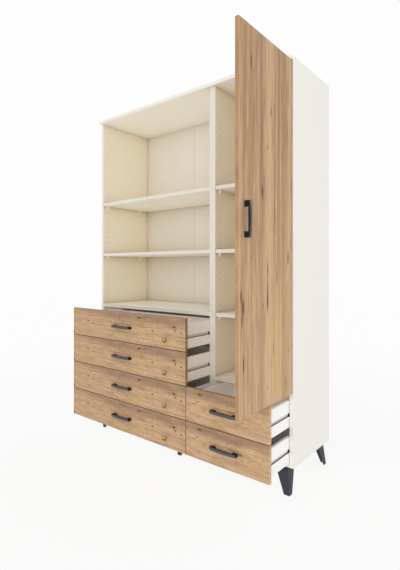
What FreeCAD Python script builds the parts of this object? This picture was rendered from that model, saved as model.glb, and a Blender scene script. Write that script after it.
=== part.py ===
"""Tall cabinet with open shelving, one hinged door and six drawers on splayed steel feet.

Frame: millimetres, X to the right, Y from front to back, Z up. The origin is on the floor, under the
middle of the carcass. The model stands as in the photograph: the drawers pulled out, the door open.
"""
import FreeCAD, Part
import math
import os

Vec = FreeCAD.Vector
UP = Vec(0, 0, 1)

# Driving dimensions of the carcass
cabinet_width = 1314.0
cabinet_depth = 412.0
side_height = 1800.0
foot_height = 125.0
board = 18.0
edge_ease = 0.4

# Back wall: thin panels in grooves of the sides and the top, with a T strip over their joint
back_board = 3.0
back_inset = 7.0
back_rise = 2.0
groove_depth = 8.0
groove_play = 0.2
strip_web = 2.0
strip_width = 14.0
strip_wall = 1.5

# Fronts: the drawer fronts and the door
front_board = 16.0
front_pitch = 160.0
front_joint = 3.0
front_gap = 3.0
front_reveal = 1.0
front_ease = 0.8

# Shelf holes and shelves
hole_pitch = 32.0
hole_across = 5.0
hole_depth = 10.0
first_hole_rise = 40.0
hole_top_margin = 96.0
hole_row_inset = 37.0
rear_row_inset = 77.0
# A shelf's place is the count of holes below its pins; the right rows start some holes lower than the left ones
lower_shelf_hole_count = 8
upper_shelf_hole_count = 18
right_extra_hole_count = 3
bottom_shelf_hole_count = 1
shelf_play = 1.0
shelf_setback = 2.0

# Holes for a clothes rail flange, two pairs near half depth
rail_hole_low = 153.0
rail_hole_high = 821.0
rail_hole_inset = 198.0

# Shelf pins
pin_drop = 6.0
pin_width = 9.0
pin_reach = 9.0
pin_height = 18.0
pin_lip = 3.0
pin_toe = 2.5
pin_play = 0.1

# Drawer boxes and the rails that they run on
drawer_pull = 194.0
box_side = 12.0
box_height = 118.0
box_rise = 8.0
box_rear_room = 50.0
side_room = 2.5
bottom_board = 3.0
bottom_rise = 10.0
bottom_groove = 6.0
bottom_play = 0.5
rail_height = 14.0
rail_bite = 4.5
rail_seat = 0.3
rail_setback = 1.0
rail_short = 1.0
run_groove_rise = 55.0
run_groove_height = 16.0
run_groove_depth = 5.0

# Bow handles
handle_length = 136.0
handle_width = 13.0
handle_reach = 22.0
handle_bow = 4.0
handle_bar = 5.0
post_length = 22.0
handle_ease = 0.8
handle_from_edge = 45.0

# Concealed hinges
hinge_count = 3
hinge_end_distance = 110.0
cup_radius = 17.5
cup_edge = 3.0
cup_skin = 3.0
cup_wall = 0.8
cup_play = 0.1
cup_flange_height = 52.0
cup_flange_width = 20.0
cup_flange_wall = 1.2
hinge_pin_radius = 1.25
eye_play = 0.1
eye_wall = 1.0
eye_width = 7.0
eye_room = 0.6
corner_room = 0.6
neck_wall = 2.4
arm_width = 11.0
arm_wall = 8.0
arm_length = 62.0
arm_front = 6.0
arm_slope = 10.0
plate_block = 7.0
plate_block_width = 13.0
plate_block_length = 36.0
plate_wing_wall = 2.0
plate_wing_height = 50.0
plate_wing_length = 20.0
door_open_angle = 90.0

# Splayed feet, folded from sheet steel
foot_wall = 3.0
foot_plate = 3.0
foot_top_flange = 65.0
foot_tip_flange = 27.0
foot_lean = 13.4
foot_side_inset = 30.0
foot_face_inset = 10.0
foot_plate_margin = 6.0
foot_plate_corner = 16.0

# Places that follow from the sizes above
half = cabinet_width / 2
y_front = -cabinet_depth / 2
y_rear = cabinet_depth / 2
y_back = y_rear - back_inset - back_board
z_base = foot_height
z_floor = z_base + board
z_top = z_base + side_height
x_left = -half + board
x_right = half - board
module = cabinet_width / 3
x_seam = -half + module
x_divider = -half + 2 * module
z_fronts = z_base + board / 2
y_closed = y_front - front_gap
left_shelf_z = z_fronts + 4 * front_pitch + board / 2
right_shelf_z = z_fronts + 2 * front_pitch + board / 2
z_grid = left_shelf_z + first_hole_rise
row_places = (y_front + hole_row_inset, y_back - rear_row_inset)
front_height = front_pitch - front_joint
box_length = y_back - box_rear_room - y_closed

pieces = {}


def box(x0, x1, y0, y1, z0, z1):
    """A plain block between two corners."""
    return Part.makeBox(x1 - x0, y1 - y0, z1 - z0, Vec(x0, y0, z0))


def panel(x0, x1, y0, y1, z0, z1, ease=edge_ease):
    """A board whose edges are eased, as edge banding is."""
    block = box(x0, x1, y0, y1, z0, z1)
    return block.makeChamfer(ease, block.Edges)


def prism(points, direction):
    """A flat outline pushed along a direction."""
    outline = Part.makePolygon(list(points) + [points[0]])
    return Part.Face(outline).extrude(direction)


def six_sided(across, length, x, y, z, way):
    """A short six-sided rod along X, from x towards way; the many shelf holes are kept to few faces."""
    radius = across / math.sqrt(3)
    corners = []
    for step in range(6):
        angle = math.radians(60 * step)
        corners.append(Vec(x, y + radius * math.cos(angle), z + radius * math.sin(angle)))
    return prism(corners, Vec(way * length, 0, 0))


# Rows of shelf holes

def hole_heights(first):
    """Heights of the holes from a first one up, on the grid that all rows share."""
    last = math.floor((z_top - hole_top_margin - z_grid) / hole_pitch)
    return [z_grid + step * hole_pitch for step in range(first, last + 1)]


def row_drills(x, way, first):
    """Drills for the front and the rear row in a face at x, going into the board along way."""
    drills = []
    for y in row_places:
        for z in hole_heights(first):
            drills.append(six_sided(hole_across, hole_depth, x, y, z, way))
    return drills


def rail_drills(x, way):
    """Two pairs of holes near half depth, where a clothes rail can be screwed on."""
    drills = []
    for rise in (rail_hole_low, rail_hole_high):
        for step in (0, 1):
            z = left_shelf_z + rise + step * hole_pitch
            drills.append(six_sided(hole_across, hole_depth, x, y_front + rail_hole_inset, z, way))
    return drills


# Carcass

def side_panel(hand):
    """A side of the carcass with its holes and the groove for the back; hand is -1 left, 1 right."""
    inner = hand * (half - board)
    outer = hand * half
    body = panel(min(inner, outer), max(inner, outer), y_front, y_rear, z_base, z_top)
    deep = inner + hand * groove_depth
    groove = box(min(inner, deep), max(inner, deep), y_back - groove_play,
                 y_back + back_board + groove_play, z_base, z_top)
    first = 0 if hand < 0 else -right_extra_hole_count
    drills = row_drills(inner, hand, first) + [groove]
    if hand < 0:
        drills = drills + rail_drills(inner, hand)
    return body.cut(drills)


def divider_board(hand):
    """One of the divider's two boards; hand is -1 for the board on the left."""
    face = x_divider + hand * board
    body = panel(min(face, x_divider), max(face, x_divider), y_front, y_back, z_floor, z_top)
    first = 0 if hand < 0 else -right_extra_hole_count
    drills = row_drills(face, -hand, first)
    if hand < 0:
        drills = drills + rail_drills(face, -hand)
    return body.cut(drills)


pieces["left_side_panel"] = side_panel(-1)
pieces["right_side_panel"] = side_panel(1)
pieces["divider_left_board"] = divider_board(-1)
pieces["divider_right_board"] = divider_board(1)
top = panel(-half, half, y_closed - front_board, y_rear, z_top, z_top + board)
pieces["top_panel"] = top.cut(box(x_left - groove_depth, x_right + groove_depth, y_back - groove_play,
                                  y_back + back_board + groove_play, z_top, z_top + groove_depth))
pieces["bottom_panel"] = panel(x_left, x_right, y_front, y_back, z_base, z_floor)
pieces["left_fixed_shelf"] = panel(x_left, x_divider - board, y_front, y_back,
                                   left_shelf_z - board, left_shelf_z)
pieces["right_fixed_shelf"] = panel(x_divider + board, x_right, y_front, y_back,
                                    right_shelf_z - board, right_shelf_z)


# Back wall

back_reach = groove_depth - groove_play


def back_panel(x0, x1):
    """A thin panel behind the carcass, from just above its lower edge up into the top's groove."""
    return box(x0, x1, y_back, y_back + back_board, z_base + back_rise, z_top + back_reach)


strip_bottom = z_base + back_rise
y_strip = y_back + back_board
strip_stem = box(x_seam - strip_web / 2, x_seam + strip_web / 2, y_back, y_strip, strip_bottom, z_top)
strip_cover = box(x_seam - strip_width / 2, x_seam + strip_width / 2, y_strip, y_strip + strip_wall,
                  strip_bottom, z_top)
pieces["back_joint_strip"] = strip_stem.fuse(strip_cover)
pieces["back_panel_left"] = back_panel(x_left - back_reach, x_seam - strip_web / 2)
pieces["back_panel_middle"] = back_panel(x_seam + strip_web / 2, x_divider)
pieces["back_panel_right"] = back_panel(x_divider, x_right + back_reach)


# Loose shelves and their pins

def shelf_height(hole):
    """The underside of a shelf that lies on the pins in a hole of the grid."""
    return z_grid + hole * hole_pitch + pin_drop


def shelf_pin(x, y, z, way):
    """A pin: a peg in the hole and a tapered tongue under the shelf, standing out along way."""
    hole = z - pin_drop
    peg = six_sided(hole_across - 2 * pin_play, hole_depth - pin_play, x, y, hole, -way)
    side = (
        Vec(x, y - pin_width / 2, z),
        Vec(x + way * pin_reach, y - pin_width / 2, z),
        Vec(x + way * pin_reach, y - pin_width / 2, z - pin_lip),
        Vec(x + way * pin_toe, y - pin_width / 2, z - pin_height),
        Vec(x, y - pin_width / 2, z - pin_height),
    )
    return prism(side, Vec(0, pin_width, 0)).fuse(peg)


bays = {
    "left": (x_left, x_divider - board),
    "right": (x_divider + board, x_right),
}
loose_shelves = {
    "left_shelf_lower": ("left", lower_shelf_hole_count),
    "left_shelf_upper": ("left", upper_shelf_hole_count),
    "right_shelf_lower": ("right", bottom_shelf_hole_count - right_extra_hole_count),
    "right_shelf_middle": ("right", lower_shelf_hole_count),
    "right_shelf_upper": ("right", upper_shelf_hole_count),
}
shelf_pins = []
for name, (bay, hole) in loose_shelves.items():
    bay_left, bay_right = bays[bay]
    z = shelf_height(hole)
    pieces[name] = panel(bay_left + shelf_play, bay_right - shelf_play, y_front + shelf_setback,
                         y_back - shelf_play, z, z + board)
    for y in row_places:
        shelf_pins.append(shelf_pin(bay_left, y, z, 1))
        shelf_pins.append(shelf_pin(bay_right, y, z, -1))
pieces["shelf_pins"] = Part.makeCompound(shelf_pins)


# Bow handles

def bow_handle():
    """A handle along X on the plane y = 0, standing out towards -Y: two posts, a bar straight inside, bowed outside."""
    end = handle_length / 2
    inner_end = end - post_length
    inner_reach = handle_reach - handle_bar
    bow_top = Part.Arc(Vec(-end, -handle_reach, 0), Vec(0, -handle_reach - handle_bow, 0),
                       Vec(end, -handle_reach, 0)).toShape()
    outline = Part.Wire([
        Part.makeLine(Vec(-end, 0, 0), Vec(-end, -handle_reach, 0)),
        bow_top,
        Part.makeLine(Vec(end, -handle_reach, 0), Vec(end, 0, 0)),
        Part.makeLine(Vec(end, 0, 0), Vec(inner_end, 0, 0)),
        Part.makeLine(Vec(inner_end, 0, 0), Vec(inner_end, -inner_reach, 0)),
        Part.makeLine(Vec(inner_end, -inner_reach, 0), Vec(-inner_end, -inner_reach, 0)),
        Part.makeLine(Vec(-inner_end, -inner_reach, 0), Vec(-inner_end, 0, 0)),
        Part.makeLine(Vec(-inner_end, 0, 0), Vec(-end, 0, 0)),
    ])
    bar = Part.Face(outline).extrude(Vec(0, 0, handle_width))
    bar.translate(Vec(0, 0, -handle_width / 2))
    outer = [edge for edge in bar.Edges if edge.BoundBox.YMax < -inner_reach - handle_bar / 2]
    return bar.makeChamfer(handle_ease, outer)


# Drawers

def drawer(name, x0, x1, bay_left, bay_right, row):
    """One drawer with its front, box, handle and rails; row 0 is the lowest."""
    z0 = z_fronts + row * front_pitch + front_joint / 2
    y0 = y_closed - drawer_pull
    box_bottom = z0 + box_rise
    box_top = box_bottom + box_height
    out_left = bay_left + side_room
    out_right = bay_right - side_room
    y1 = y0 + box_length
    sheet = box_bottom + bottom_rise
    groove_low = box_bottom + run_groove_rise - run_groove_height / 2
    groove_high = groove_low + run_groove_height

    slot = box(out_left + box_side - bottom_groove, out_right - box_side + bottom_groove,
               y0 - bottom_groove, y1, sheet, sheet + bottom_board)
    front = panel(x0, x1, y0 - front_board, y0, z0, z0 + front_height, front_ease)
    pieces[name + "_front"] = front.cut(slot)

    sides = []
    for outer, way in ((out_left, 1), (out_right, -1)):
        inner = outer + way * box_side
        deep = outer + way * run_groove_depth
        side = box(min(outer, inner), max(outer, inner), y0, y1, box_bottom, box_top)
        run = box(min(outer, deep), max(outer, deep), y0, y1, groove_low, groove_high)
        sides.append(side.cut([run, slot]))
    pieces[name + "_sides"] = Part.makeCompound(sides)

    pieces[name + "_back"] = box(out_left + box_side, out_right - box_side, y1 - box_side, y1,
                                 sheet + bottom_board, box_top)
    pieces[name + "_bottom"] = box(out_left + box_side - bottom_groove + bottom_play,
                                   out_right - box_side + bottom_groove - bottom_play,
                                   y0 - bottom_groove + bottom_play, y1, sheet, sheet + bottom_board)

    handle = bow_handle()
    handle.translate(Vec((x0 + x1) / 2, y0 - front_board, z0 + front_height / 2))
    pieces[name + "_handle"] = handle

    rails = []
    rail_top = groove_high - rail_seat
    for face, way in ((bay_left, 1), (bay_right, -1)):
        reach = face + way * (side_room + rail_bite)
        rails.append(box(min(face, reach), max(face, reach), y_front + rail_setback,
                         y_closed + box_length - rail_short, rail_top - rail_height, rail_top))
    return rails


left_fronts = (-half + front_reveal, x_divider - front_joint / 2)
right_fronts = (x_divider + front_joint / 2, half - front_reveal)
rails = []
for number in range(4):
    rails += drawer("drawer_left_%d" % (number + 1), *left_fronts, *bays["left"], 3 - number)
for number in range(2):
    rails += drawer("drawer_right_%d" % (number + 1), *right_fronts, *bays["right"], 1 - number)
pieces["drawer_runners"] = Part.makeCompound(rails)


# Door and hinges, modelled closed and then swung open about the hinge pins

cup_depth = front_board - cup_skin
eye_hole = hinge_pin_radius + eye_play
eye_radius = eye_hole + eye_wall
pivot_depth = cup_depth - cup_wall - eye_room - eye_radius
corner_reach = pivot_depth + front_gap - corner_room
pivot_edge = math.sqrt(corner_reach ** 2 - pivot_depth ** 2)
x_hinge_edge = half - front_reveal
pivot = Vec(x_hinge_edge - pivot_edge, y_closed - pivot_depth, 0)
x_cup = x_hinge_edge - cup_edge - cup_radius

door_bottom = z_fronts + 2 * front_pitch + front_joint / 2
door_top = z_top - front_joint
hinge_low = door_bottom + hinge_end_distance
hinge_step = (door_top - hinge_end_distance - hinge_low) / (hinge_count - 1)
hinge_heights = [hinge_low + step * hinge_step for step in range(hinge_count)]


def along_y(radius, length, x, y, z):
    """A round rod that starts at y and goes towards -Y."""
    return Part.makeCylinder(radius, length, Vec(x, y, z), Vec(0, -1, 0))


def hinge_cup(z):
    """A pressed cup with a flange on the door's inner face and a pin across it for the arm's eye."""
    hollow_radius = cup_radius - cup_play - cup_wall
    shell = along_y(cup_radius - cup_play, cup_depth, x_cup, y_closed, z)
    flange = box(x_cup - cup_flange_width / 2, x_cup + cup_flange_width / 2, y_closed,
                 y_closed + cup_flange_wall, z - cup_flange_height / 2, z + cup_flange_height / 2)
    hollow = along_y(hollow_radius, cup_depth + cup_flange_wall - cup_wall, x_cup,
                     y_closed + cup_flange_wall, z)
    pin = Part.makeCylinder(hinge_pin_radius, 2 * cup_radius, Vec(pivot.x, pivot.y, z - cup_radius), UP)
    pin_seat = along_y(hollow_radius + cup_wall / 2, cup_depth, x_cup, y_closed, z)
    return shell.fuse(flange).cut(hollow).fuse(pin.common(pin_seat)).removeSplitter()


def hinge_arm(z):
    """A cranked arm: from its plate on the side it reaches round the door's corner to the pin."""
    low = z - eye_width / 2
    neck_near = pivot.x - corner_reach - corner_room / 2
    neck_far = neck_near - neck_wall
    neck_low = pivot.y - neck_wall / 2
    crank = y_front + arm_front
    neck = prism((
        Vec(pivot.x, neck_low, low),
        Vec(pivot.x, neck_low + neck_wall, low),
        Vec(neck_near, neck_low + neck_wall, low),
        Vec(neck_near, crank, low),
        Vec(neck_far, crank, low),
        Vec(neck_far, neck_low, low),
    ), Vec(0, 0, eye_width))
    eye = Part.makeCylinder(eye_radius, eye_width, Vec(pivot.x, pivot.y, low), UP)
    bore = Part.makeCylinder(eye_hole, eye_width, Vec(pivot.x, pivot.y, low), UP)

    low = z - arm_width / 2
    seat = x_right - plate_block
    top = seat - arm_wall
    bar = prism((
        Vec(neck_near, crank, low),
        Vec(seat, crank + arm_slope, low),
        Vec(seat, y_front + arm_length, low),
        Vec(top, y_front + arm_length, low),
        Vec(top, crank + arm_slope, low),
        Vec(neck_far, crank, low),
    ), Vec(0, 0, arm_width))
    return neck.fuse([eye, bar]).cut(bore)


def hinge_plate(z):
    """A mounting plate: a block under the arm and two wings for the screws."""
    y1 = y_front + arm_length
    block = box(x_right - plate_block, x_right, y1 - plate_block_length, y1,
                z - plate_block_width / 2, z + plate_block_width / 2)
    y_middle = y1 - plate_block_length / 2
    wing = box(x_right - plate_wing_wall, x_right, y_middle - plate_wing_length / 2,
               y_middle + plate_wing_length / 2, z - plate_wing_height / 2, z + plate_wing_height / 2)
    return block.fuse(wing).removeSplitter()


def swung(shape):
    """The shape with the door open."""
    turned = shape.copy()
    turned.rotate(pivot, UP, door_open_angle)
    return turned


door = panel(right_fronts[0], right_fronts[1], y_closed - front_board, y_closed,
             door_bottom, door_top, front_ease)
door = door.cut([along_y(cup_radius, cup_depth, x_cup, y_closed, z) for z in hinge_heights])
upright_handle = bow_handle()
upright_handle.rotate(Vec(0, 0, 0), Vec(0, 1, 0), 90)
upright_handle.translate(Vec(right_fronts[0] + handle_from_edge, y_closed - front_board,
                             (door_bottom + door_top) / 2))
pieces["door_panel"] = swung(door)
pieces["door_handle"] = swung(upright_handle)
pieces["hinge_cups"] = swung(Part.makeCompound([hinge_cup(z) for z in hinge_heights]))
pieces["hinge_arms"] = Part.makeCompound([hinge_arm(z) for z in hinge_heights])
pieces["hinge_mounting_plates"] = Part.makeCompound([hinge_plate(z) for z in hinge_heights])


# Feet

def angle_outline(x, y, z, x_way, y_way, flange):
    """Corners of an L of sheet steel with its ridge at x, y and its flanges along x_way and y_way."""
    wall = foot_wall
    steps = ((0, 0), (flange, 0), (flange, wall), (wall, wall), (wall, flange), (0, flange))
    return [Vec(x + x_way * a, y + y_way * b, z) for a, b in steps]


def tapered(low, high):
    """A solid with flat faces between two outlines that have the same number of corners."""
    faces = []
    for here in range(len(low)):
        after = (here + 1) % len(low)
        corners = [low[here], low[after], high[after], high[here], low[here]]
        faces.append(Part.Face(Part.makePolygon(corners)))
    for ring in (low, high):
        faces.append(Part.Face(Part.makePolygon(ring + [ring[0]])))
    solid = Part.makeSolid(Part.makeShell(faces))
    if solid.Volume < 0:
        solid.reverse()
    return solid


def foot(x, y, x_way, y_way):
    """A tapered folded leg, leaning out to its tip, on a plate under the bottom panel."""
    plate_low = z_base - foot_plate
    tip_x = x - x_way * foot_lean
    tip_y = y - y_way * foot_lean
    top = angle_outline(x, y, plate_low, x_way, y_way, foot_top_flange)
    tip = angle_outline(tip_x, tip_y, 0.0, x_way, y_way, foot_tip_flange)
    leg = tapered(tip, top)
    edge = foot_top_flange + foot_plate_margin
    corner = foot_plate_corner
    plate_steps = ((0, 0), (edge, 0), (edge, corner), (corner, edge), (0, edge))
    plate = prism([Vec(x + x_way * a, y + y_way * b, plate_low) for a, b in plate_steps],
                  Vec(0, 0, foot_plate))
    return leg.fuse(plate).removeSplitter()


foot_columns = {
    "left": (-half + foot_side_inset, 1),
    "middle": (0.0, 1),
    "right": (half - foot_side_inset, -1),
}
foot_rows = {
    "front": (y_front + foot_face_inset, 1),
    "rear": (y_rear - foot_face_inset, -1),
}
for row, (y, y_way) in foot_rows.items():
    for column, (x, x_way) in foot_columns.items():
        pieces["foot_%s_%s" % (row, column)] = foot(x, y, x_way, y_way)


os.makedirs("parts", exist_ok=True)
for name, shape in pieces.items():
    shape.exportStep("parts/%s.step" % name)
print("%d pieces written" % len(pieces))
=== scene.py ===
# %% [markdown]
# This lesson dresses a tall cabinet: cream boards with open shelves, an oak door that stands open on the
# right and six oak-fronted drawers that are all pulled out a little. The solids come ready from the packed
# model, in metres and in their places, so the work here is the finishes, the small fittings, the light and
# the camera.

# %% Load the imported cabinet
import math

import bmesh
import bpy
from mathutils import Matrix, Vector


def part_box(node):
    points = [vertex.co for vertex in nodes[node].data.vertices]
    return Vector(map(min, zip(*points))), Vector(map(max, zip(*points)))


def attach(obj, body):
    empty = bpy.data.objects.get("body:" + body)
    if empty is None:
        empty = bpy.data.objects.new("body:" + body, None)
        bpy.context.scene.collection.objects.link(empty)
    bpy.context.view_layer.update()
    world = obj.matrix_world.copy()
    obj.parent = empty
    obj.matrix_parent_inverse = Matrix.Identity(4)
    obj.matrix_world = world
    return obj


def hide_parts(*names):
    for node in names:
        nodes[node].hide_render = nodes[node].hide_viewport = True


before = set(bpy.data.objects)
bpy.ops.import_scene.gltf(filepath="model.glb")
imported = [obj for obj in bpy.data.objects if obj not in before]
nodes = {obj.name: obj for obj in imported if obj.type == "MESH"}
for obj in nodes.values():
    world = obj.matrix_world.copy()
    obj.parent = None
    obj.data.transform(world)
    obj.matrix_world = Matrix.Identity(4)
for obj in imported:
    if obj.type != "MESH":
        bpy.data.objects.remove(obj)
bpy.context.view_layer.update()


# %% [markdown]
# The camera stands in front of the cabinet and to its right, a little lower than the lower left shelf. The
# photograph's uprights are parallel, as in a shift lens picture, so the camera looks level and the framing
# comes from a small lens shift.

# %% Camera at the photograph's view
scene = bpy.context.scene
view = bpy.data.cameras.new("photo_view")
view.lens = 26.695
view.shift_x = 0.0344
view.shift_y = -0.0289
camera = bpy.data.objects.new("photo_view", view)
camera_turn = 40.354
camera.location = (1.48166, -1.94298, 1.00648)
camera.rotation_euler = (math.radians(90), 0, math.radians(camera_turn))
scene.collection.objects.link(camera)
scene.camera = camera
print("camera at", tuple(round(v, 3) for v in camera.location), "lens", view.lens)

# %% [markdown]
# Finishes are node trees. Arithmetic is easier to read as an expression than as boxes and wires, so a small
# class wraps one output: adding or multiplying two wrapped values puts a Math node in the tree. Every other
# node comes from one method, which takes the node's kind, its settings and what goes into its sockets.


# %% A value that can be calculated with, and a tree that takes any node
class Value:
    def __init__(self, tree, socket):
        self.tree = tree
        self.socket = socket

    def other(self, name):
        found = [s for s in self.socket.node.outputs if s.name == name and s.enabled]
        return Value(self.tree, found[0])

    def math(self, kind, first, second=0.0):
        return self.tree.add("Math", {"operation": kind}, {0: first, 1: second})

    def __add__(self, more):
        return self.math("ADD", self, more)

    def __radd__(self, more):
        return self.math("ADD", more, self)

    def __sub__(self, less):
        return self.math("SUBTRACT", self, less)

    def __rsub__(self, whole):
        return self.math("SUBTRACT", whole, self)

    def __mul__(self, times):
        return self.math("MULTIPLY", self, times)

    def __rmul__(self, times):
        return self.math("MULTIPLY", times, self)

    def __truediv__(self, parts):
        return self.math("DIVIDE", self, parts)

    def __rtruediv__(self, whole):
        return self.math("DIVIDE", whole, self)

    def __pow__(self, power):
        return self.math("POWER", self, power)

    def __rpow__(self, base):
        return self.math("POWER", base, self)

    def __mod__(self, step):
        return self.math("FLOORED_MODULO", self, step)

    def __abs__(self):
        return self.math("ABSOLUTE", self)

    def ease(self, low, high):
        limits = {"Value": self, "From Min": low, "From Max": high}
        return self.tree.add("MapRange", {"interpolation_type": "SMOOTHSTEP"}, limits)


class Tree:
    def __init__(self, tree):
        self.nodes = tree.nodes
        self.links = tree.links
        self.nodes.clear()

    def add(self, kind, settings=None, sockets=None):
        node = self.nodes.new("ShaderNode" + kind)
        for name, setting in (settings or {}).items():
            setattr(node, name, setting)
        for name, given in (sockets or {}).items():
            if isinstance(name, int):
                socket = node.inputs[name]
            else:
                socket = [s for s in node.inputs if s.name == name and s.enabled][0]
            if isinstance(given, Value):
                self.links.new(given.socket, socket)
            else:
                socket.default_value = given
        shown = [s for s in node.outputs if s.enabled]
        return Value(self, shown[0]) if shown else None

    def mix(self, share, first, second):
        return self.add("Mix", {"data_type": "RGBA"}, {"Factor": share, "A": first, "B": second})

    def noise(self, place, scale, detail=2.0, rough=0.5):
        return self.add(
            "TexNoise", None, {"Vector": place, "Scale": scale, "Detail": detail, "Roughness": rough}
        )

    def point(self, x, y, z=0.0):
        return self.add("CombineXYZ", None, {"X": x, "Y": y, "Z": z})


def paint(red, green, blue):
    parts = [(v / 255 / 12.92) if v < 11 else ((v / 255 + 0.055) / 1.055) ** 2.4 for v in (red, green, blue)]
    return (*parts, 1.0)


print("a light oak tone is", [round(v, 3) for v in paint(200, 169, 134)[:3]])

# %% [markdown]
# A finish is a tree that ends in one Principled shader. What changes over the surface goes to the colour,
# the roughness and the bump. What is the same everywhere is set on the shader's own sockets. Many finishes
# also ask which way a face looks: a part of the normal that is eased between two limits gives 1 on the
# faces meant and 0 elsewhere.


# %% A finish with a colour, a roughness and a bump
class Finish(Tree):
    def __init__(self, name):
        self.material = bpy.data.materials.new(name)
        self.material.use_nodes = True
        super().__init__(self.material.node_tree)
        self.place = self.add("TexCoord").other("Object")
        self.facing = self.place.other("Normal")

    def parts(self, vector):
        split = self.add("SeparateXYZ", None, {"Vector": vector})
        return split, split.other("Y"), split.other("Z")

    def close(self, colour, roughness, height=None, depth=0.0002, **plain):
        sockets = {"Base Color": colour, "Roughness": roughness}
        if height is not None:
            sockets["Normal"] = self.add("Bump", None, {"Height": height, "Strength": 1.0, "Distance": depth})
        sockets.update({name.replace("_", " "): value for name, value in plain.items()})
        shader = self.add("BsdfPrincipled", None, sockets)
        self.add("OutputMaterial", None, {"Surface": shader})
        return self.material


def dress(material, *names):
    for name in names:
        mesh = nodes[name].data
        mesh.materials.clear()
        mesh.materials.append(material)


looking = (0.3, 0.7)
print("a face counts as looking one way when that part of its normal passes", looking)

# %% [markdown]
# The carcass is chipboard with a cream melamine face. The faces that look into the bays are a little warmer
# than the outside, as in the photograph: a painted warm shade for the light that bounces between the boards,
# so each board says which way its shaded faces look. Melamine has a fine pearled skin, and a hair line shows
# where the edge band meets the face, just behind the front edge.
# In the drilled holes and the back wall's groove the raw chipboard shows: those are the points that lie
# deeper than a board's outer skin. A little grey is painted into the inner corners as shade, fading within a
# few centimetres. The shelves and the top's underside get painted light: a touch paler than the upright
# boards, as they look in the photograph.

# %% Cream boards
cream = paint(242, 239, 232)
side_edge = paint(236, 232, 224)
edge_cream = paint(224, 218, 206)
warm_shade_cream = paint(244, 236, 217)
band_line = paint(196, 184, 162)
painted_light_cream = paint(253, 251, 242)
chip_light = paint(200, 178, 142)
chip_dark = paint(162, 136, 102)
corner_shade_grey = paint(188, 171, 140)
skin = 0.0004
band_thickness = 0.0008
band_line_half = 0.4
wide_corner_shade = (32, 0.26)
tight_corner_shade = (140, 0.2)
bay_walls = [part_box("left_side_panel")[1].x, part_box("divider_left_board")[0].x]
bay_walls += [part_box("divider_right_board")[1].x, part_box("right_side_panel")[0].x]
bay_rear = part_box("back_panel_left")[0].y
left_shelves = ("left_fixed_shelf", "left_shelf_lower", "left_shelf_upper")
right_shelves = ("right_fixed_shelf", "right_shelf_lower", "right_shelf_middle", "right_shelf_upper")
left_levels = [corner.z for shelf in left_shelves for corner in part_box(shelf)] + [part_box("top_panel")[0].z]
right_levels = [corner.z for shelf in right_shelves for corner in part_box(shelf)] + [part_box("top_panel")[0].z]


def painted_corner_shade(place, normal, levels):
    """How much painted shade lies at a point: most in the corners of a bay, fading within a few centimetres."""
    corner_shade_sum = 0.0
    for axis, spots in ((0, bay_walls), (1, [bay_rear]), (2, levels)):
        for spot in spots:
            gap = abs(place[axis] - spot)
            wide = math.e ** (gap * -wide_corner_shade[0]) * wide_corner_shade[1]
            tight = math.e ** (gap * -tight_corner_shade[0]) * tight_corner_shade[1]
            corner_shade_sum = (wide + tight) * (1 - abs(normal[axis])) + corner_shade_sum
    return corner_shade_sum


def board_finish(board, shaded_faces, edge, levels):
    tree = Finish(f"cream_{board}")
    normal = tree.parts(tree.facing)
    place = tree.parts(tree.place)
    low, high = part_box(board)
    shaded = 1 - abs(normal[1])
    if shaded_faces != "all":
        axis, way = shaded_faces
        shaded = normal[axis] * way
    cloud = tree.noise(tree.place, 3.0, 2.0)
    pearl = tree.noise(tree.place, 1500.0, 2.0)
    inward = shaded.ease(*looking)
    # Painted warm shade on the faces that look into the bays.
    shade = tree.mix(inward * (0.9 + 0.2 * cloud), cream, warm_shade_cream)
    # Painted light: the top's underside and the shelves' tops and undersides are made paler.
    if board == "top_panel":
        inward = (0 - normal[2]).ease(*looking)
        shade = tree.mix(inward, shade, painted_light_cream)
    elif "shelf" in board:
        shade = tree.mix(abs(normal[2]).ease(*looking), shade, painted_light_cream)
    # Painted shade: grey in the inner corners of the bay, on the faces that look into it.
    shade = tree.mix(painted_corner_shade(place, normal, levels) * inward, shade, corner_shade_grey)
    shade = tree.mix((0 - normal[1]).ease(*looking), shade, edge)
    behind = (place[1] - (low.y + band_thickness)) * 1000
    line = (1 - abs(behind) / band_line_half).ease(0.0, 1.0) * (1 - abs(normal[1])).ease(*looking)
    shade = tree.mix(line * 0.5, shade, band_line)
    deep = 1.0
    for axis in range(3):
        middle, half = (low[axis] + high[axis]) / 2, (high[axis] - low[axis]) / 2
        deep = (half - abs(place[axis] - middle)).ease(skin, 2 * skin) * deep
    chips = tree.noise(tree.place, 700.0, 3.0, 0.7)
    shade = tree.mix(deep, shade, tree.mix(chips.ease(0.35, 0.65), chip_dark, chip_light))
    rough = 0.36 + 0.12 * pearl + 0.06 * cloud + 0.3 * deep
    return tree.close(shade, rough, pearl, 0.00004, Specular_IOR_Level=0.4)


outer_boards = {"left_side_panel": (0, 1), "right_side_panel": (0, -1), "top_panel": (1, 1)}
inner_boards = ["bottom_panel", "divider_left_board", "divider_right_board", *left_shelves, *right_shelves]
for board, shaded_faces in outer_boards.items():
    levels = {"left_side_panel": left_levels, "right_side_panel": right_levels}.get(board, [])
    dress(board_finish(board, shaded_faces, side_edge, levels), board)
for board in inner_boards:
    levels = {"divider_left_board": left_levels, "divider_right_board": right_levels}.get(board, [])
    dress(board_finish(board, "all", edge_cream, levels), board)
print(len(outer_boards) + len(inner_boards), "cream boards, of them", len(inner_boards), "warm all round")

# %% [markdown]
# The back wall is thin hardboard: lacquered cream inside, raw brown with a pressed screen pattern behind.
# One finish does both, and the way a face looks decides which of the two it shows. The joint strip is white
# plastic.

# %% Back wall
wall_cream = paint(224, 217, 205)
raw_light = paint(150, 116, 82)
raw_dark = paint(122, 91, 62)
screen_threads = 480


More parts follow.
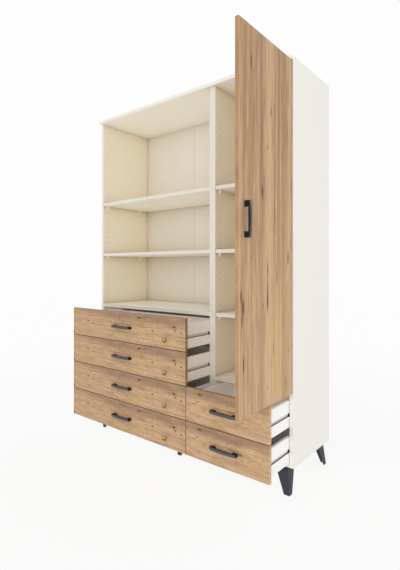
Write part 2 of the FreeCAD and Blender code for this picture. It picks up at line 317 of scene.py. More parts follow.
def hardboard_finish(name, front_colour, levels):
    tree = Finish(name)
    nx, ny, nz = tree.parts(tree.facing)
    x, y, z = tree.parts(tree.place)
    behind = ny.ease(*looking)
    fibres = tree.noise(tree.place, 240.0, 4.0, 0.7)
    cloud = tree.noise(tree.place, 4.0, 3.0)
    weft = abs((x * screen_threads) % 1 - 0.5) + abs((z * screen_threads) % 1 - 0.5)
    raw = tree.mix((0.7 * fibres + 0.3 * cloud).ease(0.3, 0.7), raw_dark, raw_light)
    raw = tree.mix(weft.ease(0.5, 1.0) * 0.25, raw, raw_dark)
    lacquer = tree.mix(cloud.ease(0.3, 0.8) * 0.2, front_colour, cream)
    # Painted shade: grey in the inner corners, as on the boards.
    lacquer = tree.mix(painted_corner_shade((x, y, z), (nx, ny, nz), levels), lacquer, corner_shade_grey)
    colour = tree.mix(behind, lacquer, raw)
    return tree.close(colour, 0.42 + behind * 0.35 + 0.06 * cloud, weft * behind + 0.1 * fibres, 0.00008)


dress(hardboard_finish("back_wall_left", wall_cream, left_levels), "back_panel_left", "back_panel_middle")
dress(hardboard_finish("back_wall_right", wall_cream, right_levels), "back_panel_right")
groove_shade = paint(142, 128, 102)
groove_off = 0.0015
groove_edge = (1.4, 2.6)


def strip_finish(name):
    tree = Finish(name)
    x = tree.parts(tree.place)[0]
    low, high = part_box("back_joint_strip")
    groove = 1 - (abs(x - (low.x + high.x) / 2 - groove_off) * 1000).ease(*groove_edge)
    speck = tree.noise(tree.place, 500.0, 3.0, 0.6)
    colour = tree.mix(speck * 0.4, wall_cream, cream)
    # Painted shade: the groove along the strip's middle is a dark line.
    colour = tree.mix(groove * 0.85, colour, groove_shade)
    return tree.close(colour, 0.4 + 0.1 * speck, speck + groove * -1.0, 0.0001)


dress(strip_finish("joint_strip_white"), "back_joint_strip")
print("back wall in three panels, its joint strip has a groove along its middle")

# %% [markdown]
# The drawer boxes are a cooler, plain white foil on board, and their bottoms are white hardboard. A fine
# linen grain in the foil keeps them from looking like paper. The foil doesn't reach into the groove that
# runs on the rail: there the bare grey core shows, its grey partly painted shade for the groove's depth, with
# a painted shadow darkest on the lower lip. A point is in the groove if its height fits and it lies a few
# millimetres in from the drawer's outer face.

# %% Drawer boxes
box_white = paint(253, 251, 249)
box_grey = paint(246, 244, 241)
core_light = paint(214, 210, 202)
lip_shadow_grey = paint(96, 93, 88)
front_pitch = 0.160
groove_middle = 0.055
groove_half = 0.0082
groove_depth = 0.0062
lip_shadow_rise = (-0.008, -0.002)


def foil_finish(name, lowest_sides):
    tree = Finish(name)
    x, y, z = tree.parts(tree.place)
    low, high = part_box(lowest_sides)
    linen = tree.noise(tree.point(x * 900, y * 90, z * 900), 1.0, 2.0)
    cloud = tree.noise(tree.place, 5.0, 2.0)
    colour = tree.mix((0.5 * linen + 0.5 * cloud).ease(0.35, 0.75) * 0.5, box_white, box_grey)
    rise = (z - low.z) % front_pitch - groove_middle
    inside = 1 - abs(rise).ease(groove_half, groove_half + 0.0002)
    # Painted shadow: the core is darkest on the groove's lower lip.
    core = tree.mix(rise.ease(*lip_shadow_rise), lip_shadow_grey, core_light)
    half_width = (high.x - low.x) / 2
    depth = half_width - abs(x - (low.x + half_width))
    sunk = depth.ease(skin, 3 * skin) * (1 - depth.ease(groove_depth, groove_depth + 0.0006))
    colour = tree.mix(inside * sunk, colour, core)
    return tree.close(colour, 0.4 + 0.15 * linen + inside * sunk * 0.3, linen, 0.00005)


drawers = [f"drawer_left_{n}" for n in (1, 2, 3, 4)] + [f"drawer_right_{n}" for n in (1, 2)]
foils = {"left": foil_finish("drawer_foil_left", "drawer_left_4_sides")}
foils["right"] = foil_finish("drawer_foil_right", "drawer_right_2_sides")
for drawer in drawers:
    foil = foils["left" if "left" in drawer else "right"]
    dress(foil, *[f"{drawer}_{part}" for part in ("sides", "back", "bottom")])
print("foil on", len(drawers), "drawer boxes")

# %% [markdown]
# The photograph shows a dark line between the shelf and the top drawer: one looks over the drawer's back,
# which stands lower than its sides. The solid's back is as high as the sides, so a copy of it is cut lower
# and stands for it. A copy's triangles are loose, so its doubles are merged before the knife goes through;
# then the cut gets a lid and its rim is eased a little, like the rim of a sawn and foiled board.

# %% Lower drawer backs
back_drop = 0.0095
rim_round = 0.0008
same_place = 0.00001
flat_angle = 0.01


def lower_back(drawer):
    node = f"{drawer}_back"
    shape = bmesh.new()
    shape.from_mesh(nodes[node].data)
    bmesh.ops.remove_doubles(shape, verts=shape.verts, dist=same_place)
    whole = shape.verts[:] + shape.edges[:] + shape.faces[:]
    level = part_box(node)[1].z - back_drop
    cut = bmesh.ops.bisect_plane(
        shape, geom=whole, plane_co=(0, 0, level), plane_no=(0, 0, 1), clear_outer=True
    )
    rim = [e for e in cut["geom_cut"] if isinstance(e, bmesh.types.BMEdge)]
    bmesh.ops.contextual_create(shape, geom=rim)
    bmesh.ops.dissolve_limit(shape, angle_limit=flat_angle, verts=shape.verts, edges=shape.edges)
    top_rim = [e for e in shape.edges if all(abs(v.co.z - level) < same_place for v in e.verts)]
    bmesh.ops.bevel(
        shape, geom=top_rim, offset=rim_round, affect="EDGES", segments=2, profile=0.5, material=-1
    )
    bmesh.ops.recalc_face_normals(shape, faces=shape.faces)
    mesh = bpy.data.meshes.new(f"{node}_board")
    shape.to_mesh(mesh)
    mesh.materials.append(foils["left" if "left" in drawer else "right"])
    board = bpy.data.objects.new(f"{node}_board", mesh)
    scene.collection.objects.link(board)
    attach(board, drawer)
    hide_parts(node)
    print(board.name, "has", len(shape.faces), "faces and ends at", round(level, 4))
    shape.free()


for drawer in drawers:
    lower_back(drawer)

# %% [markdown]
# The fronts and the door wear an oak decor: a print of knotty oak, the same sheet on each front. Fine
# straight grain is noise that is squeezed across the board and stretched along it, in layers from broad
# clouds to single pores. Each knot is a dark oval that also pushes the grain apart around it. A list could
# be drawn at random, but the eye knows these knots from the photograph, so they are listed one by one.

# %% Oak grain
oak_light = paint(213, 179, 139)
oak_dark = paint(147, 112, 76)
oak_rose = paint(184, 149, 118)
oak_grey = paint(147, 117, 93)
oak_knot = paint(90, 57, 36)
oak_pale = paint(219, 183, 140)
oak_umber = paint(148, 116, 88)
oak_rust = paint(158, 117, 78)
oak_honey = paint(222, 183, 133)


def oval(along, across, knot):
    """How near a point is to a knot, 1 in its middle and 0 far off, and how far it lies across the grain."""
    a, b, long, wide = knot[:4]
    da = (along - a) / long
    db = (across - b) / wide
    return (1 + da * da + db * db) ** -2.0, db


def drawn_out(tree, along, across, along_rate, across_rate, seed, detail=2.0, rough=0.5):
    """Noise that runs along the board; the two rates say how fast it changes in a millimetre."""
    return tree.noise(tree.point(along * along_rate, across * across_rate, seed), 1.0, detail, rough)


def oak_grain(tree, along, across, flow, knots, bold, seed):
    """The board's colour and what later steps need; a bold grain has stronger streaks and fewer clouds."""
    wander = drawn_out(tree, along, across, 0.0016, 0.006, seed) - 0.5
    flow = flow + wander * 16
    dark = 0.0
    for knot in knots:
        near, db = oval(along, across, knot)
        flow = flow - near * db * (knot[3] * 0.9)
        halo, _ = oval(along, across, (knot[0], knot[1], knot[2] * 2.6, knot[3] * 2.0))
        dark = near * knot[4] + halo * (knot[4] * 0.2) + dark
    broad = drawn_out(tree, along, flow, 0.0009, 0.03, seed + 2)
    stripe = drawn_out(tree, along, flow, 0.0013, 0.075, seed + 3)
    streak = drawn_out(tree, along, flow, 0.004, 0.2, seed + 4, 4.0, 0.65)
    hair = drawn_out(tree, along, flow, 0.0075, 0.55, seed + 5)
    fine = drawn_out(tree, along, flow, 0.011, 1.1, seed + 6, 3.0, 0.6)
    cloud = drawn_out(tree, along, across, 0.011, 0.035, seed + 7, 3.0)
    pores = drawn_out(tree, along, flow, 0.03, 2.4, seed + 8).ease(0.56, 0.74)
    hue = drawn_out(tree, along, flow, 0.002, 0.02, seed + 9)
    speckle = drawn_out(tree, along, across, 0.06, 0.11, seed + 10)
    tone = 0.54 + (broad - 0.5) * 0.7
    tone = tone + (stripe - 0.5) * (1.1 * bold)
    tone = tone + (streak - 0.5) * (0.6 + 1.6 * bold)
    tone = tone + (hair - 0.5) * (0.4 + 1.4 * bold)
    tone = tone + (fine - 0.5) * 0.35
    tone = tone + (cloud - 0.5) * (0.78 - 0.26 * bold)
    tone = tone + (speckle - 0.5) * (0.76 - 0.5 * bold)
    colour = tree.mix(tone.ease(-0.05, 1.05), oak_dark, oak_light)
    colour = tree.mix(hue.ease(0.45, 0.75) * 0.45, colour, oak_rose)
    colour = tree.mix(pores * 0.22, colour, oak_dark)
    return colour, dark, streak, fine, pores


def oak_close(tree, colour, dark, streak, fine, pores):
    colour = tree.mix(dark.ease(0.06, 0.9), colour, oak_knot)
    rough = 0.46 + 0.14 * fine + 0.08 * streak
    return tree.close(colour, rough, fine * 0.5 + pores * -0.5, 0.00008, Specular_IOR_Level=0.3)


print("the oak has ten layers of noise, its knots are", [round(v, 3) for v in oak_knot[:3]])

# %% [markdown]
# On the drawer fronts the oak lies flat, and all fronts of a stack show the same piece of it, so the height
# is counted anew from each front's lower edge. Places are in millimetres from a front's lower left corner:
# a knot has its middle, its two half sizes and its darkness, a patch or a pale spot the same without the
# darkness. A darker band runs along the top. Its lower edge has a height at the left end, in the middle and
# at the right end, then come the places where it leaves and reaches them, and its strength at the left end.
# On the left fronts a healed branch leaves an open ring.

# %% Drawer fronts in oak
left_knots = [
    (141, 89, 11, 5, 0.72), (187, 78, 13, 4.5, 0.5), (411, 119, 7, 4, 0.6), (564, 137, 14, 6, 0.8),
    (594, 138, 10, 4, 0.35), (583, 98, 9, 4, 0.35), (601, 90, 14, 3, 0.3), (659, 81, 7, 4.5, 0.85),
    (803, 110, 8, 6, 1.0), (811, 94, 6, 4.5, 0.8), (847, 84, 7, 5, 0.75), (0, 11, 11, 10, 1.0),
    (764, 66, 22, 9, 0.3), (733, 33, 14, 4, 0.4), (344, 141, 16, 7, 0.25), (744, 45, 15, 13, 0.36),
    (410, 91, 48, 6, 0.24),
]
left_patches = [
    (709, 137, 34, 13), (766, 131, 26, 14), (608, 146, 40, 9), (440, 142, 60, 10), (200, 150, 90, 10),
]
left_pales = [(95, 80, 110, 13), (310, 82, 70, 13)]
left_arcs = [(20, 0.4), (33, 0.25)]
left_ring = (741, 44, 13.5)
left_band = (128, 110, 113, 40, 360, 560, 720, 0.7)
right_knots = [
    (81, 136, 15, 7, 0.75), (45, 88, 14, 4, 0.55), (67, 99, 9, 4, 0.6), (235, 115, 9, 5, 0.5),
    (297, 82, 13, 6, 0.6), (258, 91, 42, 7, 0.42), (408, 85, 8, 4, 0.45), (212, 44, 11, 4, 0.3),
]
right_patches = [(280, 128, 50, 14), (150, 140, 60, 12)]
right_pales = [(60, 76, 60, 12), (385, 84, 70, 16)]
right_band = (110, 105, 117, 60, 160, 270, 380, 1.0)


def burl_ring(along, across, ring):
    """A dark ring, open at its top, such as a healed branch leaves."""
    a, b, radius = ring
    da = (along - a) / radius
    db = (across - b) / radius
    far = (da * da + db * db) ** 0.5
    return (1 - (abs(far - 1) * 1.6).ease(0.0, 1.0)) * (1 - db.ease(0.2, 1.0))


edge_turn = (0.4, 0.8)
half_step = 0.0005


def front_finish(name, low, knots, patches, pales, arcs, ring, darker, end_light_shade_share, end_light_shade, seed):
    tree = Finish(name)
    x, _, z = tree.parts(tree.place)
    nx, _, nz = tree.parts(tree.facing)
    along = (x - low.x) * 1000
    across = ((z - low.z + half_step) % front_pitch - half_step) * 1000
    fade = math.e ** (along * -0.011)
    flow = across - 19 * fade * (1 - across.ease(20, 95))
    colour, dark, streak, fine, pores = oak_grain(tree, along, across, flow, knots, 0.35, seed)
    ragged = drawn_out(tree, along, across, 0.006, 0.05, seed + 11, 3.0) - 0.5
    mottle = drawn_out(tree, along, across, 0.016, 0.045, seed + 12, 3.0)
    rays = drawn_out(tree, along, across, 0.09, 0.014, seed + 13)
    at_left, at_middle, at_right, leaves, reaches, turns, ends, first_share = darker
    first_part = along.ease(leaves, reaches)
    edge_line = at_left + (at_middle - at_left) * first_part
    edge_line = edge_line + (at_right - at_middle) * along.ease(turns, ends)
    band = (across - edge_line + ragged * 36).ease(-14, 24) * (first_share + (1 - first_share) * first_part)
    flame = 0.46 + 0.4 * streak + 1.1 * (mottle - 0.5) + 0.6 * (rays - 0.5)
    for pale in pales:
        colour = tree.mix(oval(along, across, pale)[0] * 0.4, colour, oak_light)
    for patch in patches:
        flame = flame + oval(along, across, patch)[0] * 0.4
    colour = tree.mix((band * flame).ease(-0.1, 1.1), colour, oak_grey)
    for height, share in arcs:
        dark = dark + (1 - (abs(flow - height) * 0.4).ease(0.0, 1.0)) * fade * share
    if ring:
        broken = drawn_out(tree, along, across, 0.11, 0.11, seed + 14, 1.0).ease(0.3, 0.65)
        dark = dark + burl_ring(along, across, ring) * broken * 0.5
    end = abs(nx).ease(*edge_turn)
    edge = abs(nz).ease(*edge_turn)
    # Painted light and shade on the end faces: darker on the left fronts, which the open door shades, paler on
    # the right fronts.
    colour = tree.mix(end * end_light_shade_share, colour, end_light_shade)
    colour = tree.mix(edge * 0.7, colour, oak_dark)
    return oak_close(tree, colour, dark * (1 - end), streak, fine, pores)


left_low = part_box("drawer_left_4_front")[0]
right_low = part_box("drawer_right_2_front")[0]
left_marks = (left_knots, left_patches, left_pales, left_arcs, left_ring, left_band)
right_marks = (right_knots, right_patches, right_pales, [], None, right_band)
# The left fronts' ends get painted shade, the right fronts' ends painted light.
left_oak = front_finish("oak_left_fronts", left_low, *left_marks, 0.75, oak_dark, 1.0)
right_oak = front_finish("oak_right_fronts", right_low, *right_marks, 0.5, oak_pale, 31.0)
dress(left_oak, *[f"drawer_left_{n}_front" for n in (1, 2, 3, 4)])
dress(right_oak, *[f"drawer_right_{n}_front" for n in (1, 2)])
print("left fronts start at", round(left_low.x, 4), "and right fronts at", round(right_low.x, 4))

# %% [markdown]
# On the door the same oak runs upright. Broad bands, brown or pale, run the whole height, with long thin
# cracks and small knots between them. A knot's numbers are its height, its distance from the free edge, its
# two half sizes and its darkness. A band has its distance from the free edge, its half width, its tint and
# its strength. The door is a little browner at the top and a little more golden at the lower right.

# %% Door in oak
door_knots = [
    (1183, 241, 24, 4, 0.8), (1137, 382, 85, 5, 0.6), (1090, 166, 90, 4, 0.45), (1035, 213, 10, 5, 0.5),
    (1000, 338, 70, 4, 0.3), (850, 173, 30, 5, 0.95), (834, 120, 40, 4, 0.35), (778, 274, 85, 4, 0.5),
    (640, 321, 180, 4, 0.35), (592, 392, 28, 5, 0.9), (594, 78, 8, 5, 0.4), (549, 213, 36, 4, 0.7),
    (470, 213, 45, 4, 0.6), (418, 213, 28, 5, 1.0), (448, 16, 26, 5, 0.95), (408, 30, 28, 6, 1.0),
    (356, 22, 28, 4, 0.7), (512, 292, 32, 4, 0.6), (404, 176, 22, 4, 0.6), (194, 33, 38, 5, 0.85),
    (226, 261, 32, 4, 0.5), (173, 241, 38, 4, 0.4), (78, 214, 11, 5, 0.5), (70, 364, 10, 5, 0.5),
    (197, 397, 12, 4, 0.45), (330, 348, 60, 4, 0.4), (1330, 90, 40, 5, 0.6), (1290, 330, 60, 4, 0.5),
]
door_bands = [
    (165, 17, oak_umber, 0.6), (221, 24, oak_pale, 0.55), (350, 20, oak_rust, 0.55),
    (409, 10, oak_pale, 0.45), (6, 7, oak_pale, 0.4), (306, 13, oak_rust, 0.5),
    (90, 12, oak_rust, 0.35), (273, 6, oak_rust, 0.4), (40, 14, oak_rust, 0.25),
]


def door_finish(name, low, seed):
    tree = Finish(name)
    _, y, z = tree.parts(tree.place)
    ny = tree.parts(tree.facing)[1]
    along = (z - low.z) * 1000
    across = (y - low.y) * 1000
    colour, dark, streak, fine, pores = oak_grain(tree, along, across, across, door_knots, 1.0, seed)
    drift = drawn_out(tree, along, across, 0.003, 0.01, seed + 13) - 0.5
    lines = tree.noise(tree.point(along * 0.004, across * 0.13 + drift * 2, seed + 15), 1.0, 3.0, 0.6)
    dark = dark + lines.ease(0.54, 0.74) * 0.5
    for middle, half, tint, share in door_bands:
        inside = 1 - (abs(across + drift * 22 - middle) / half).ease(0.6, 1.3)
        colour = tree.mix(inside * (share * 0.6 + share * 0.6 * streak), colour, tint)
    # Painted light from the floor: the door is paler towards the bottom.
    colour = tree.mix((1 - along.ease(100, 1100)) * 0.22, colour, oak_pale)
    upper_left = along.ease(450, 1150) * (1 - across.ease(140, 250))
    colour = tree.mix(upper_left * 0.2 + along.ease(800, 1250) * 0.1, colour, oak_rust)
    lower_right = (1 - along.ease(150, 800)) * across.ease(225, 270) * (1 - across.ease(325, 350))
    colour = tree.mix(lower_right * 0.5, colour, oak_honey)
    # Painted shade: the door's end faces are darker.
    end = abs(ny).ease(*edge_turn)
    colour = tree.mix(end * 0.6, colour, oak_dark)
    return oak_close(tree, colour, dark * (1 - end), streak, fine, pores)


door_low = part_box("door_panel")[0]
dress(door_finish("oak_door", door_low, 61.0), "door_panel")
print("door starts at", [round(v, 4) for v in door_low])

# %% [markdown]
# Metal and plastic fittings: handles in satin graphite, feet in powder-coated anthracite, hinges in nickel,
# black rails and white plastic pins. Each has a little unevenness in gloss, because a perfect surface looks
# like a drawing.

# %% Metal and plastic
handle_dark = paint(52, 49, 51)
handle_painted_sheen = paint(100, 100, 105)


def fitting_finish(name, light, dark, rough, spread, grain, depth, **plain):
    tree = Finish(name)
    speck = tree.noise(tree.place, grain, 3.0, 0.6)
    cloud = tree.noise(tree.place, 30.0, 2.0)
    colour = tree.mix((0.6 * speck + 0.4 * cloud).ease(0.3, 0.7), dark, light)
    return tree.close(colour, rough + spread * (cloud - 0.5) + spread * (speck - 0.5), speck, depth, **plain)


def handle_finish(name, axis, way):
    """Dark lacquered metal with a brushed grain and a painted highlight that makes the outer face lighter; the
    axis and way say where that face looks.
    """
    tree = Finish(name)
    x, y, z = tree.parts(tree.place)
    outer = (tree.parts(tree.facing)[axis] * way).ease(0.6, 0.95)
    brushed = tree.noise(tree.point(x * 60, y * 1500, z * (60 if way > 0 else 1500)), 1.0, 3.0)
    cloud = tree.noise(tree.place, 30.0, 2.0)
    # Painted highlight: the outer face is lighter.
    colour = tree.mix(outer * (0.75 + 0.25 * brushed), handle_dark, handle_painted_sheen)
    return tree.close(colour, 0.34 + 0.1 * cloud + 0.1 * brushed, brushed, 0.00001, Metallic=1.0)


anthracite = fitting_finish(
    "foot_anthracite", paint(58, 59, 68), paint(46, 47, 55), 0.5, 0.2, 900, 0.00006, Specular_IOR_Level=0.25
)
nickel = fitting_finish(
    "hinge_nickel", paint(206, 203, 196), paint(184, 181, 174), 0.3, 0.15, 600, 0.00001, Metallic=1.0
)
rail_black = fitting_finish(
    "rail_black", paint(13, 13, 14), paint(7, 7, 8), 0.5, 0.15, 500, 0.00003, Specular_IOR_Level=0.2
)
pin_plastic = fitting_finish(
    "pin_plastic", paint(254, 253, 250), paint(240, 238, 232), 0.25, 0.15, 500, 0.00002
)
white_plastic = fitting_finish(
    "white_plastic", paint(236, 234, 228), paint(224, 221, 213), 0.4, 0.15, 500, 0.00002
)
dress(handle_finish("handle_graphite", 1, -1), *[f"{drawer}_handle" for drawer in drawers])
dress(handle_finish("door_handle_graphite", 0, 1), "door_handle")
feet = [f"foot_{row}_{side}" for row in ("front", "rear") for side in ("left", "middle", "right")]
dress(anthracite, *feet)
dress(nickel, "hinge_mounting_plates", "hinge_arms", "hinge_cups")
dress(rail_black, "drawer_runners")
dress(pin_plastic, "shelf_pins")
print(len(drawers) + 1, "handles and", len(feet), "feet are dressed, also the hinges, rails and pins")

# %% [markdown]
# The small fittings are what a quick stand-in leaves out: covers over the cam fittings under the top,
# screws in the hinges, the handles and the foot plates, nails in the back wall and soft dots where the door
# lands. They are all round heads, so one helper makes them: a disc is pulled up, its rim is bevelled over,
# and a screw's top is inset, pinched to a four-armed star and pushed in.

# %% Round heads with bmesh
head_turns = {"right": (0, 1, 0, 90), "left": (0, 1, 0, -90), "rear": (1, 0, 0, -90), "down": (1, 0, 0, 180)}
star_rim, star_arm, star_waist = 0.08, 0.95, 0.38
star_wall, star_depth = 0.03, 0.6


def round_head(place, way, radius, height, sides=16, cross=False):
    shape = bmesh.new()
    disc = bmesh.ops.create_circle(shape, cap_ends=True, segments=sides, radius=radius)["verts"]
    base = disc[0].link_faces[0]
    raised = bmesh.ops.extrude_face_region(shape, geom=[base], use_keep_orig=True)["geom"]
    top_verts = [v for v in raised if isinstance(v, bmesh.types.BMVert)]
    bmesh.ops.translate(shape, verts=top_verts, vec=(0, 0, height))
    rim = [e for e in raised if isinstance(e, bmesh.types.BMEdge)]
    over = min(height * 0.7, radius * 0.4)
    bent = bmesh.ops.bevel(shape, geom=rim, offset=over, affect="EDGES", segments=2, profile=0.5, material=-1)
    top = max(bent["faces"] + [f for v in bent["verts"] for f in v.link_faces], key=lambda f: len(f.verts))
    if cross:
        bmesh.ops.inset_individual(shape, faces=[top], thickness=radius * star_rim)
        for v in top.verts:
            turn = math.atan2(v.co.y, v.co.x) / (math.pi / 2)
            arm = abs(turn - round(turn)) < 0.05
            v.co.x, v.co.y = [c * (star_arm if arm else star_waist) for c in (v.co.x, v.co.y)]
        wall, sunk = radius * star_wall, -height * star_depth
        bmesh.ops.inset_individual(shape, faces=[top], thickness=wall, depth=sunk)
    x, y, z, angle = head_turns[way]
    turned = Matrix.Rotation(math.radians(angle), 3, (x, y, z))
    bmesh.ops.rotate(shape, verts=shape.verts, cent=(0, 0, 0), matrix=turned)
    bmesh.ops.translate(shape, verts=shape.verts, vec=place)
    head = bpy.data.meshes.new("head")
    shape.to_mesh(head)
    shape.free()
    return head


def heads_piece(name, heads, body, material):
    """One piece of many heads: each is a place, a way it looks, a radius, a height and its options."""
    shape = bmesh.new()
    for place, way, radius, height, options in heads:
        head = round_head(place, way, radius, height, **options)
        shape.from_mesh(head)
        bpy.data.meshes.remove(head)
    bmesh.ops.recalc_face_normals(shape, faces=shape.faces)
    mesh = bpy.data.meshes.new(name)
    shape.to_mesh(mesh)
    mesh.materials.append(material)
    piece = bpy.data.objects.new(name, mesh)
    scene.collection.objects.link(piece)
    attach(piece, body)
    print(name, "has", len(heads), "heads and", len(shape.faces), "faces")
    shape.free()


print("a head can look", ", ".join(head_turns))

# %% [markdown]
# Round plastic covers hide the cam fittings that draw the top onto the upright boards. There are two on
# each face, one in front and one behind. They are flat discs in a beige that nearly matches the boards.

# %% Covers over the cam fittings
beige_plastic = fitting_finish(
    "cover_beige", paint(236, 227, 208), paint(228, 218, 197), 0.45, 0.15, 500, 0.00002
)
cover_radius, cover_rise = 0.0085, 0.0012
cover_drop = 0.034
cover_depths = (-0.144, 0.134)
walls = [("left_side_panel", 1, "right"), ("divider_left_board", 0, "left")]
walls += [("divider_right_board", 1, "right"), ("right_side_panel", 0, "left")]
cover_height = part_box("top_panel")[0].z - cover_drop
covers = []
for board, corner, way in walls:
    for deep in cover_depths:
        place = (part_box(board)[corner].x, deep, cover_height)
        covers.append((place, way, cover_radius, cover_rise, {"sides": 24}))
heads_piece("cam_covers", covers, "carcass", beige_plastic)

# %% [markdown]
# Each black rail ends in a nose that leads the drawer's groove onto it. It is a small block inside the
# groove, a little taller than the rail, with rounded edges, and it stops short of the closed drawer front.

# %% Noses of the rails
nose_length = 0.0038
nose_half_height = 0.0077
nose_ahead = 0.0004
nose_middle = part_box("left_side_panel")[0].y - nose_ahead
side_room = 0.0025
nose_bite = 0.0047
nose_round = 0.0006
noses = bmesh.new()
for drawer in drawers:
    low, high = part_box(f"{drawer}_sides")
    for wall, tip in ((low.x - side_room, low.x + nose_bite), (high.x + side_room, high.x - nose_bite)):
        block = bmesh.ops.create_cube(noses, size=1.0)["verts"]
        bmesh.ops.scale(noses, vec=(abs(tip - wall), nose_length, 2 * nose_half_height), verts=block)
        place = ((wall + tip) / 2, nose_middle, low.z + groove_middle)
        bmesh.ops.translate(noses, vec=place, verts=block)
bmesh.ops.bevel(
    noses, geom=noses.edges[:], offset=nose_round, affect="EDGES", segments=2, profile=0.5, material=-1
)
nose_mesh = bpy.data.meshes.new("rail_noses")
noses.to_mesh(nose_mesh)
nose_mesh.materials.append(rail_black)
rail_noses = bpy.data.objects.new("rail_noses", nose_mesh)
scene.collection.objects.link(rail_noses)
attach(rail_noses, "carcass")
print("rail noses have", len(noses.faces), "faces")
noses.free()

# %% [markdown]
# Each concealed hinge has two screws in the flange of its cup, two in the wings of its plate and two on its
# arm, for setting the door's depth and side gap. The cup's screws move with the door, the others stay on
# the carcass, so they are two pieces. The three hinges are spread evenly, which gives their heights from
# the lowest and highest cup. A screw is given by its head's radius and height.

# %% Screws in the hinges
cup_low, cup_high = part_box("hinge_cups")
cup_half_height = 0.026
cup_screw_reach, wing_screw_reach = 0.0215, 0.017
wing_thickness = 0.002
wing_depth = -0.162
arm_depths = (-0.176, -0.152)
cup_screw, wing_screw, arm_screw = (0.003, 0.0012), (0.0035, 0.0016), (0.003, 0.001)
cross = {"cross": True}
arm_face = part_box("hinge_arms")[0].x
wing_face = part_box("hinge_mounting_plates")[1].x - wing_thickness
cup_middle = (cup_low.y + cup_high.y) / 2
hinge_low = cup_low.z + cup_half_height
hinge_high = cup_high.z - cup_half_height
cup_screws, plate_screws = [], []
for share in (0, 0.5, 1):
    z = hinge_low + (hinge_high - hinge_low) * share
    for way in (-1, 1):
        spot = (cup_low.x, cup_middle, z + way * cup_screw_reach)
        cup_screws.append((spot, "left", *cup_screw, cross))
        spot = (wing_face, wing_depth, z + way * wing_screw_reach)
        plate_screws.append((spot, "left", *wing_screw, cross))
    for deep in arm_depths:
        plate_screws.append(((arm_face, deep, z), "left", *arm_screw, cross))
heads_piece("hinge_cup_screws", cup_screws, "door", nickel)
heads_piece("hinge_plate_screws", plate_screws, "carcass", nickel)

# %% [markdown]
# A handle is held by two screws that come through the front from inside, one behind each of its posts. On
# the door two soft dots near the free edge, one at the bottom and one at the top, keep it from slamming on
# the carcass.

# %% Screws of the handles, soft dots on the door
post_reach = 0.057
bolt_radius, bolt_rise = 0.004, 0.002
dot_inset, dot_from_end = 0.011, 0.02
posts = (-post_reach, post_reach)
for drawer in drawers:
    low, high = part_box(f"{drawer}_handle")
    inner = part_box(f"{drawer}_front")[1].y
    middle = (low + high) / 2
    spots = [(middle.x + side, inner, middle.z) for side in posts]
    pair = [(spot, "rear", bolt_radius, bolt_rise, cross) for spot in spots]
    heads_piece(f"{drawer}_handle_screws", pair, drawer, nickel)
low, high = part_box("door_handle")
door_low, door_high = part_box("door_panel")
middle = (low + high) / 2
spots = [(door_low.x, middle.y, middle.z + up) for up in posts]
pair = [(spot, "left", bolt_radius, bolt_rise, cross) for spot in spots]
heads_piece("door_handle_screws", pair, "door", nickel)
dot_heights = (door_low.z + dot_from_end, door_high.z - dot_from_end)
spots = [(door_low.x, door_low.y + dot_inset, z) for z in dot_heights]
dots = [(spot, "left", bolt_radius, bolt_rise, {}) for spot in spots]
heads_piece("door_landing_dots", dots, "door", white_plastic)

# %% [markdown]
# Each foot's plate has three screws: one in the corner and one along each arm of the plate. The corner
# points to the cabinet's outside, so the outer feet mirror each other. The back wall is nailed to the
# boards in front of it: to the bottom and the fixed shelves in rows, and to the two boards of the divider
# in columns.

# %% Screws in the foot plates, nails in the back wall
plate_thickness = 0.003
plate_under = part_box("bottom_panel")[0].z - plate_thickness
plate_screw = (0.0035, 0.0016)
foot_x, foot_y = 0.627, 0.196
plate_spots = ((0.017, 0.017), (0.048, 0.014), (0.014, 0.048))
foot_screws = []
for y, y_way in ((-foot_y, 1), (foot_y, -1)):
    for x, x_way in ((-foot_x, 1), (0.0, 1), (foot_x, -1)):
        for a, b in plate_spots:
            spot = (x + x_way * a, y + y_way * b, plate_under)
            foot_screws.append((spot, "down", *plate_screw, cross))
heads_piece("foot_plate_screws", foot_screws, "carcass", nickel)
wall_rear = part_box("back_panel_left")[1].y
bottom_row, left_shelf_row, right_shelf_row = 0.134, 0.774, 0.454
left_column, right_column = 0.210, 0.228
nail_radius, nail_rise = 0.0028, 0.0008
nails = []
for x in (-0.60, -0.50, -0.40, -0.30, -0.15, -0.05, 0.05, 0.15, 0.28, 0.38, 0.48, 0.58):
    nails.append((x, bottom_row))
    nails.append((x, left_shelf_row if x < left_column else right_shelf_row))
for z in (0.26, 0.40, 0.55, 0.70, 0.90, 1.05, 1.20, 1.35, 1.50, 1.65, 1.80, 1.90):
    nails.append((left_column, z))
    nails.append((right_column, z + 0.03 if z < 1.85 else 1.87))
heads = [((x, wall_rear, z), "rear", nail_radius, nail_rise, {"sides": 10}) for x, z in nails]
heads_piece("back_wall_nails", heads, "carcass", nickel)

# %% [markdown]
# A catalogue picture has soft light from all round and almost no shadow. An even sky gives that: a plain
# surface then shows about the colour it was given, and only recesses and the floor under the cabinet go
# darker. A wide, weak lamp in front and a weaker one at the right give the corners a direction. The camera
# itself sees white where there is nothing, and the pale floor glows a little, so that it meets that white
# without a line. The bays are lit by light that has gone from board to board, so it may bounce more often
# than Blender's default allows.

# %% Floor, sky and lamps
sky_light = (0.80, 0.80, 0.81, 1.0)
sky_seen = (0.985, 0.985, 0.985, 1.0)
sky = bpy.data.worlds.new("soft_sky")
sky.use_nodes = True
scene.world = sky
tree = Tree(sky.node_tree)
ray = tree.add("LightPath")
seen = (ray + ray.other("Is Glossy Ray") + ray.other("Is Transmission Ray")).ease(0.0, 1.0)
light = tree.mix(seen, sky_light, sky_seen)
tree.add("OutputWorld", None, {"Surface": tree.add("Background", None, {"Color": light, "Strength": 1.0})})

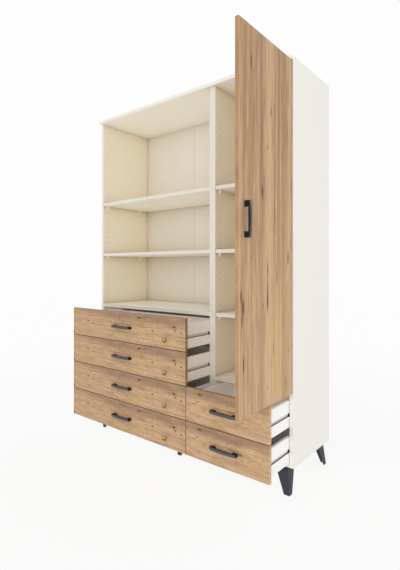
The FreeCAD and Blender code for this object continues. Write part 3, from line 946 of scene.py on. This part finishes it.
floor_reach = 14.0
floor_glow = 0.6
floor_seen_near, floor_seen_far = 0.86, 0.13
floor_matt = ((0.93, 0.925, 0.92, 1.0), (0.94, 0.935, 0.93, 1.0))
floor_bright = (0.985, 0.984, 0.98, 1.0)
floor_shape = bmesh.new()
bmesh.ops.create_grid(floor_shape, x_segments=2, y_segments=2, size=floor_reach)
floor_mesh = bpy.data.meshes.new("floor")
floor_shape.to_mesh(floor_mesh)
floor_shape.free()
floor = bpy.data.objects.new("floor", floor_mesh)
scene.collection.objects.link(floor)
pale_floor = bpy.data.materials.new("pale_floor")
pale_floor.use_nodes = True
ground = Tree(pale_floor.node_tree)
spot = ground.add("TexCoord").other("Object")
mottle = ground.noise(spot, 2.0, 2.0)
far = ground.add("VectorMath", {"operation": "LENGTH"}, {0: spot}).other("Value").ease(0.8, 4.0)
matt = ground.add("BsdfDiffuse", None, {"Color": ground.mix(mottle, *floor_matt)})
bright = ground.add("Emission", None, {"Color": floor_bright})
ray = ground.add("LightPath")
seen = (ray + ray.other("Is Glossy Ray") + ray.other("Is Transmission Ray")).ease(0.0, 1.0)
glow = floor_glow + seen * (floor_seen_near - floor_glow + floor_seen_far * far)
ground.add("OutputMaterial", None, {"Surface": ground.add("MixShader", None, {0: glow, 1: matt, 2: bright})})
floor_mesh.materials.append(pale_floor)


def soft_lamp(name, place, target, size, watts):
    lamp = bpy.data.lights.new(name, "AREA")
    lamp.shape = "DISK"
    lamp.size = size
    lamp.energy = watts
    holder = bpy.data.objects.new(name, lamp)
    holder.location = place
    holder.rotation_euler = (Vector(target) - Vector(place)).to_track_quat("-Z", "Y").to_euler()
    holder.visible_camera = False
    scene.collection.objects.link(holder)


soft_lamp("front_lamp", place=(2.1, -4.6, 1.3), target=(0, 0, 0.9), size=3.4, watts=72)
soft_lamp("side_lamp", place=(4.8, -0.6, 0.7), target=(0.6, 0, 0.9), size=2.6, watts=6)
scene.cycles.max_bounces = 24
scene.cycles.diffuse_bounces = 16
scene.view_settings.view_transform = "Standard"
print("lamps and sky are in place")
